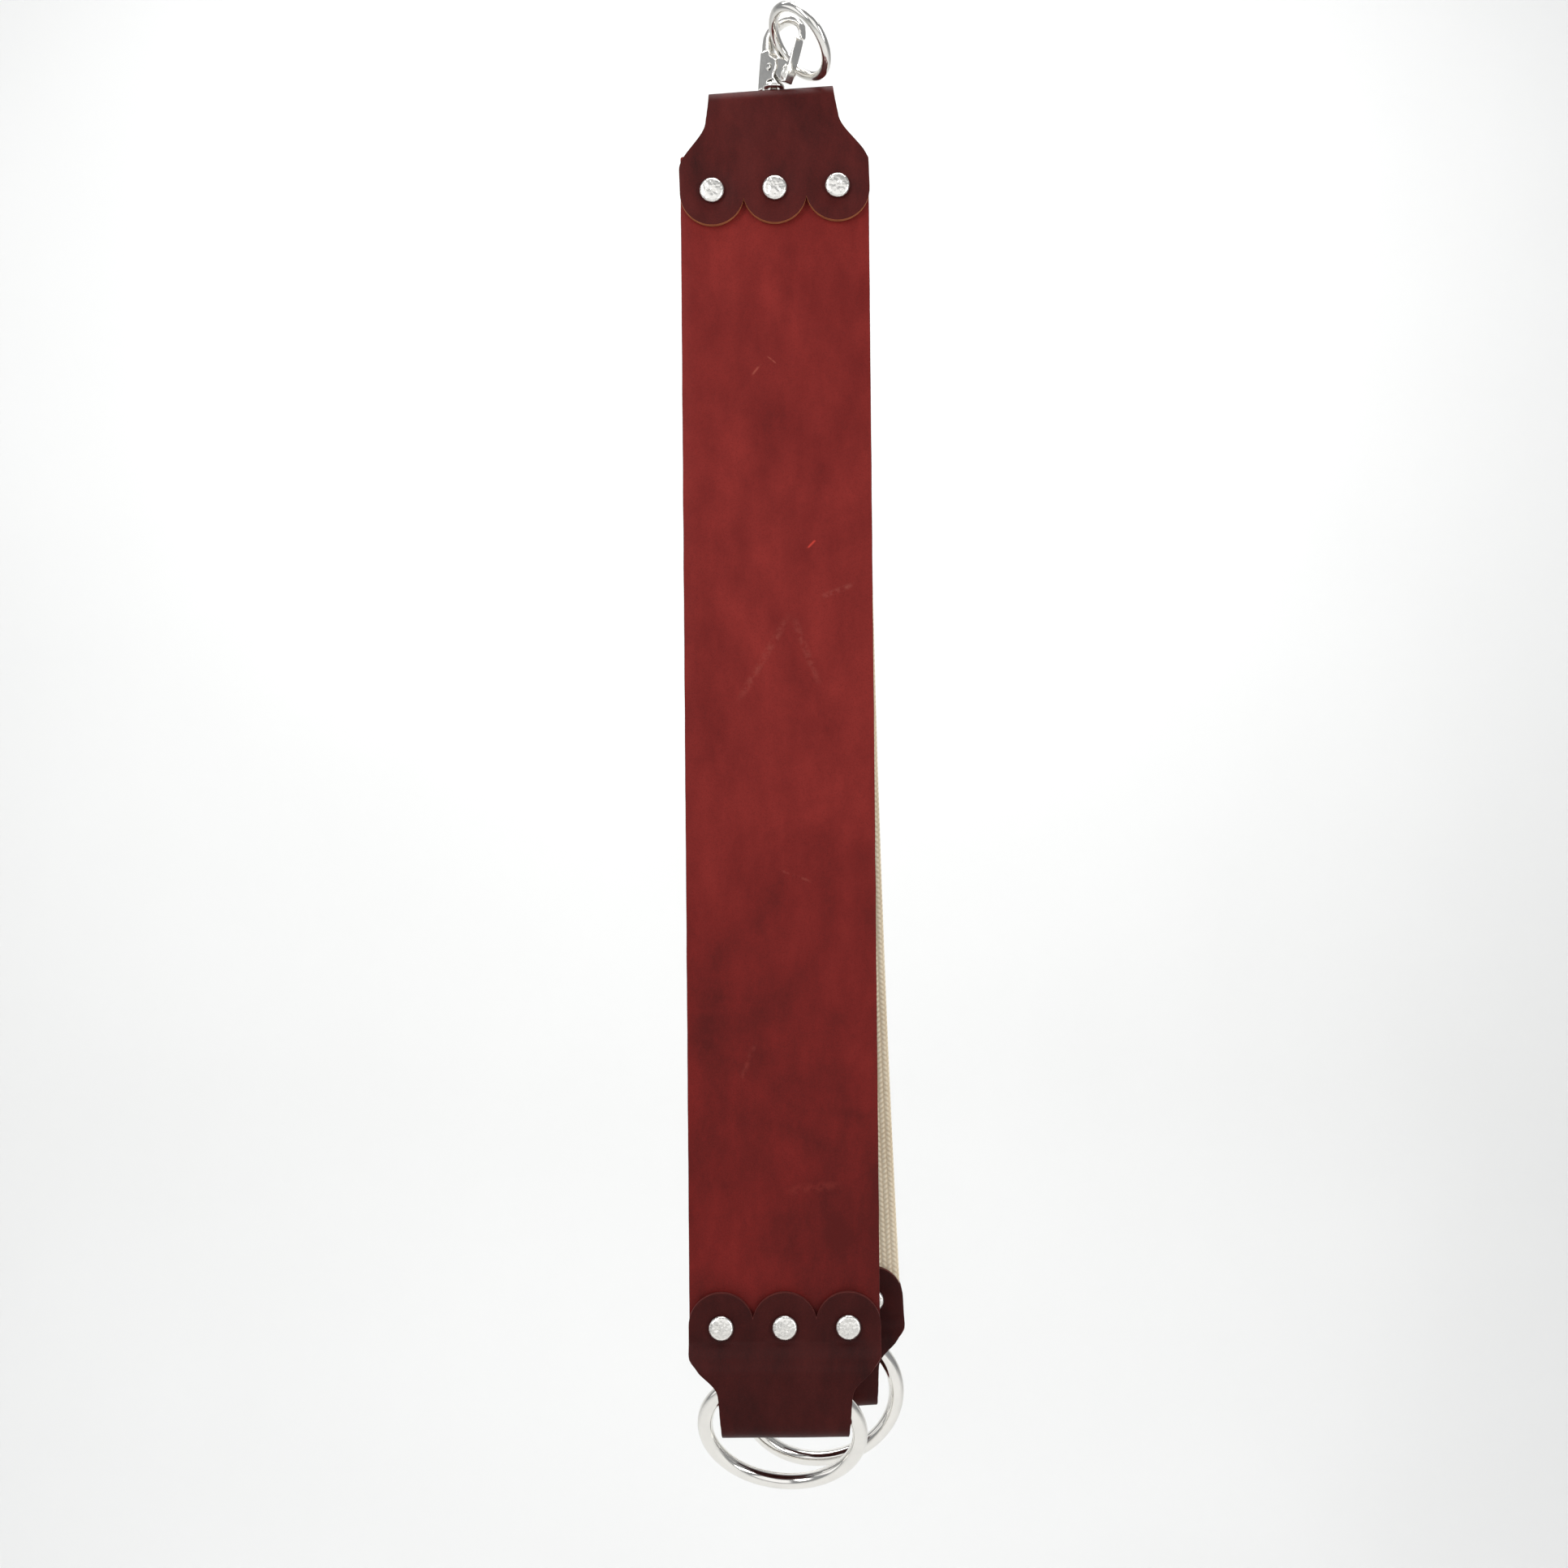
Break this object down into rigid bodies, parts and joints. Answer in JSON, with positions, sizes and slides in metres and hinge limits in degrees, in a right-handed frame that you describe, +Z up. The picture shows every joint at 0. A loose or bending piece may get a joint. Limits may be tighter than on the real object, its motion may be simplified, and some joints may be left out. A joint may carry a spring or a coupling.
{
  "type": "hanging strop",
  "caption": "Hanging strop: a leather strap and a cotton webbing strap in one scalloped riveted tab on a swivel trigger snap, each with a folded grip tab and a metal pull ring.",
  "frame": {"origin": "inside of the snap hook's crown, on the swivel axis, where a fixed anchor carries the strop", "axes": "+Z up along the hanging strop, -Y the front with the leather strap's stropping face, +X to the right seen from the front"},
  "size_m": [0.0886, 0.0723, 0.605],
  "materials": {
    "strap_leather": "oiled smooth grain",
    "tab_leather": "smooth semi-matte grain",
    "cotton_webbing": "undyed plain weave",
    "nickel": "bright nickel plate"
  },
  "bodies": {
    "snap_hook": {"hook_frame": "nickel", "trigger_pivot_pin": "nickel", "trigger_spring": "nickel"},
    "trigger": {"trigger_lever": "nickel"},
    "clip_ring": {"clip_ring": "nickel"},
    "swivel": {"swivel_stud": "nickel"},
    "top_tab": {"top_tab": "tab_leather", "leather_strap_end": "strap_leather", "canvas_strap_end": "cotton_webbing", "top_rivet_1": "nickel", "top_rivet_2": "nickel", "top_rivet_3": "nickel", "top_rivet_cap_1": "nickel", "top_rivet_cap_2": "nickel", "top_rivet_cap_3": "nickel"},
    "leather_strap": {"leather_strap": "strap_leather", "leather_grip_tab": "tab_leather", "leather_rivet_1": "nickel", "leather_rivet_2": "nickel", "leather_rivet_3": "nickel", "leather_rivet_cap_1": "nickel", "leather_rivet_cap_2": "nickel", "leather_rivet_cap_3": "nickel"},
    "leather_pull_ring": {"leather_pull_ring": "nickel"},
    "canvas_strap": {"canvas_strap": "cotton_webbing", "canvas_grip_tab": "tab_leather", "canvas_rivet_1": "nickel", "canvas_rivet_2": "nickel", "canvas_rivet_3": "nickel", "canvas_rivet_cap_1": "nickel", "canvas_rivet_cap_2": "nickel", "canvas_rivet_cap_3": "nickel"},
    "canvas_pull_ring": {"canvas_pull_ring": "nickel"}
  },
  "joints": [
    {"name": "trigger_press", "type": "hinge", "parent": "snap_hook", "child": "trigger", "pos_m": [-0.00022, 0.0002, -0.0156], "axis": [-0.6691, -0.7431, 0], "range_deg": [0, 18], "stiffness_Nm_per_rad": 0.05, "springref_deg": -11.46},
    {"name": "clip_ring_swing", "type": "hinge", "parent": "snap_hook", "child": "clip_ring", "pos_m": [0.00148, -0.00116, -0.00499], "axis": [0.7431, -0.6691, 0], "range_deg": [0, 75]},
    {"name": "swivel_spin", "type": "hinge", "parent": "snap_hook", "child": "swivel", "pos_m": [0, 0, -0.0247], "axis": [0, 0, 1], "continuous": true},
    {"name": "tab_swing", "type": "hinge", "parent": "swivel", "child": "top_tab", "pos_m": [0, 0, -0.0314], "axis": [1, 0, 0], "range_deg": [-5, 30]},
    {"name": "leather_strap_swing", "type": "hinge", "parent": "top_tab", "child": "leather_strap", "pos_m": [0, -0.00275, -0.0839], "axis": [-1, 0, 0], "range_deg": [0, 80]},
    {"name": "canvas_strap_swing", "type": "hinge", "parent": "top_tab", "child": "canvas_strap", "pos_m": [0, 0.00015, -0.0839], "axis": [1, 0, 0], "range_deg": [0, 80]},
    {"name": "leather_pull_ring_swing", "type": "hinge", "parent": "leather_strap", "child": "leather_pull_ring", "pos_m": [0.00197, -0.00184, -0.55298], "axis": [-0.9836, 0, 0.1805], "range_deg": [0, 55]},
    {"name": "canvas_pull_ring_swing", "type": "hinge", "parent": "canvas_strap", "child": "canvas_pull_ring", "pos_m": [0.01148, 0.02496, -0.54383], "axis": [0.9851, 0, 0.1719], "range_deg": [-7, 12]}
  ]
}
